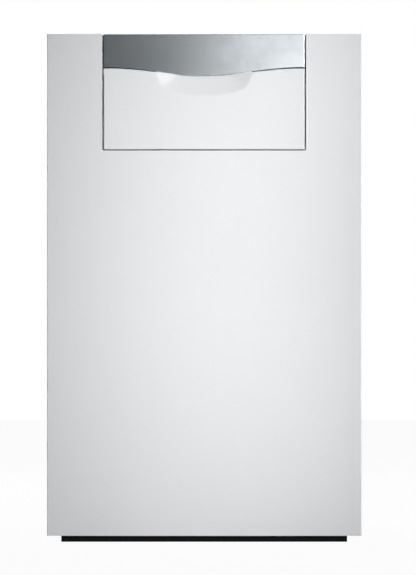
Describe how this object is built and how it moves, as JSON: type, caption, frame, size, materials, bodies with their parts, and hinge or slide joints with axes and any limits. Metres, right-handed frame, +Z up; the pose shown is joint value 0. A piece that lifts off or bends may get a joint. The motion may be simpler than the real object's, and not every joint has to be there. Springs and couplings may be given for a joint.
{
  "type": "floor standing gas boiler",
  "caption": "Floor standing gas boiler: white sheet casing on a low black frame, bowed front with a silver-banded hinged control flap, cast iron heat exchanger inside, draught diverter behind.",
  "frame": {"origin": "on the floor under the middle of the boiler's whole box, draught diverter included", "axes": "+Z up, +X to the right as seen from the front, +Y to the back, so the front faces -Y"},
  "size_m": [0.52, 0.75, 0.841],
  "materials": {
    "white_enamel": "smooth gloss white powder coat",
    "black_frame": "satin black paint",
    "foot_plastic": "satin black plastic",
    "galvanised_sheet": "galvanised, soft sheen",
    "cast_iron": "as cast, dark",
    "insulation_foil": "mineral wool with a quilted foil face",
    "burner_steel": "stainless, satin",
    "valve_body": "die cast",
    "pipe_steel": "bare steel pipe",
    "drain_brass": "turned brass",
    "lever_red": "red plastic",
    "electrode_ceramic": "glazed white ceramic",
    "sight_glass": "clear",
    "console_grey": "fine textured grey plastic",
    "dark_plastic": "fine textured anthracite plastic",
    "board_green": "solder-resist green",
    "display_dark": "grey-green display",
    "clear_cover": "clear",
    "needle_red": "red",
    "rocker_red": "red",
    "key_red": "red",
    "key_white": "white",
    "knob_dark": "anthracite",
    "flap_white": "white, matched to the enamel",
    "band_silver": "silver-grey metallic lacquer"
  },
  "bodies": {
    "boiler": {"left_side_panel": "white_enamel", "right_side_panel": "white_enamel", "rear_panel": "white_enamel", "base_frame": "black_frame", "upper_front_rail": "galvanised_sheet", "burner_rear_rail": "galvanised_sheet", "burner_front_plate": "galvanised_sheet", "heat_shield": "galvanised_sheet", "flue_collector": "galvanised_sheet", "cleaning_cover": "galvanised_sheet", "draught_diverter": "galvanised_sheet", "upper_tie_rod": "galvanised_sheet", "lower_tie_rod": "galvanised_sheet", "gas_manifold": "galvanised_sheet", "left_end_section": "cast_iron", "middle_section_left": "cast_iron", "middle_section_right": "cast_iron", "right_end_section": "cast_iron", "block_insulation": "insulation_foil", "front_insulation": "insulation_foil", "burner_tube_1": "burner_steel", "burner_tube_2": "burner_steel", "burner_tube_3": "burner_steel", "hinge_pin_left": "burner_steel", "hinge_pin_right": "burner_steel", "gas_valve": "valve_body", "flow_pipe": "pipe_steel", "return_pipe": "pipe_steel", "gas_pipe": "pipe_steel", "drain_cock": "drain_brass", "ignition_electrode": "electrode_ceramic", "monitoring_electrode": "electrode_ceramic", "sight_glass": "sight_glass", "control_fascia": "console_grey", "controller_blank": "console_grey", "control_housing": "dark_plastic", "switch_frame": "dark_plastic", "gauge_case": "dark_plastic", "cable_gland": "dark_plastic", "main_board": "board_green", "lcd_display": "display_dark", "display_window": "clear_cover", "gauge_glass": "clear_cover"},
    "front_panel": {"front_panel": "white_enamel"},
    "top_cover": {"top_cover": "white_enamel"},
    "flap": {"flap_panel": "flap_white", "flap_band": "band_silver"},
    "left_knob": {"left_knob": "knob_dark"},
    "right_knob": {"right_knob": "knob_dark"},
    "mains_rocker": {"mains_rocker": "rocker_red"},
    "info_button": {"info_button": "key_white"},
    "minus_button": {"minus_button": "key_white"},
    "plus_button": {"plus_button": "key_white"},
    "reset_button": {"reset_button": "key_red"},
    "gauge_needle": {"gauge_needle": "needle_red"},
    "drain_cock_lever": {"drain_cock_lever": "lever_red"},
    "levelling_foot_front_left": {"levelling_foot_front_left": "foot_plastic"},
    "levelling_foot_front_right": {"levelling_foot_front_right": "foot_plastic"},
    "levelling_foot_rear_left": {"levelling_foot_rear_left": "foot_plastic"},
    "levelling_foot_rear_right": {"levelling_foot_rear_right": "foot_plastic"}
  },
  "joints": [
    {"name": "flap_hinge", "type": "hinge", "parent": "boiler", "child": "flap", "pos_m": [0, -0.369, 0.6578], "axis": [1, 0, 0], "range_deg": [0, 90]},
    {"name": "front_panel_slide", "type": "slide", "parent": "boiler", "child": "front_panel", "axis": [0, -1, 0], "range_m": [0, 0.35]},
    {"name": "top_cover_lift", "type": "slide", "parent": "boiler", "child": "top_cover", "axis": [0, 0, 1], "range_m": [0, 0.15]},
    {"name": "left_knob_turn", "type": "hinge", "parent": "boiler", "child": "left_knob", "pos_m": [-0.052, -0.345, 0.7], "axis": [0, 1, 0], "range_deg": [-135, 135]},
    {"name": "right_knob_turn", "type": "hinge", "parent": "boiler", "child": "right_knob", "pos_m": [0.012, -0.345, 0.7], "axis": [0, 1, 0], "range_deg": [-135, 135]},
    {"name": "mains_switch_rock", "type": "hinge", "parent": "boiler", "child": "mains_rocker", "pos_m": [-0.112, -0.332, 0.702], "axis": [1, 0, 0], "range_deg": [-14, 0]},
    {"name": "info_button_press", "type": "slide", "parent": "boiler", "child": "info_button", "axis": [0, 1, 0], "range_m": [0, 0.0012], "stiffness_N_per_m": 500, "springref_m": -0.001},
    {"name": "minus_button_press", "type": "slide", "parent": "boiler", "child": "minus_button", "axis": [0, 1, 0], "range_m": [0, 0.0012], "stiffness_N_per_m": 500, "springref_m": -0.001},
    {"name": "plus_button_press", "type": "slide", "parent": "boiler", "child": "plus_button", "axis": [0, 1, 0], "range_m": [0, 0.0012], "stiffness_N_per_m": 500, "springref_m": -0.001},
    {"name": "reset_button_press", "type": "slide", "parent": "boiler", "child": "reset_button", "axis": [0, 1, 0], "range_m": [0, 0.0012], "stiffness_N_per_m": 500, "springref_m": -0.001},
    {"name": "gauge_needle_turn", "type": "hinge", "parent": "boiler", "child": "gauge_needle", "pos_m": [-0.112, -0.337, 0.778], "axis": [0, 1, 0], "range_deg": [0, 270]},
    {"name": "drain_cock_turn", "type": "hinge", "parent": "boiler", "child": "drain_cock_lever", "pos_m": [0.205, 0.285, 0.2157], "axis": [0, 1, 0], "range_deg": [0, 90]},
    {"name": "foot_front_left_screw", "type": "slide", "parent": "boiler", "child": "levelling_foot_front_left", "axis": [0, 0, -1], "range_m": [0, 0.02]},
    {"name": "foot_front_right_screw", "type": "slide", "parent": "boiler", "child": "levelling_foot_front_right", "axis": [0, 0, -1], "range_m": [0, 0.02]},
    {"name": "foot_rear_left_screw", "type": "slide", "parent": "boiler", "child": "levelling_foot_rear_left", "axis": [0, 0, -1], "range_m": [0, 0.02]},
    {"name": "foot_rear_right_screw", "type": "slide", "parent": "boiler", "child": "levelling_foot_rear_right", "axis": [0, 0, -1], "range_m": [0, 0.02]}
  ]
}
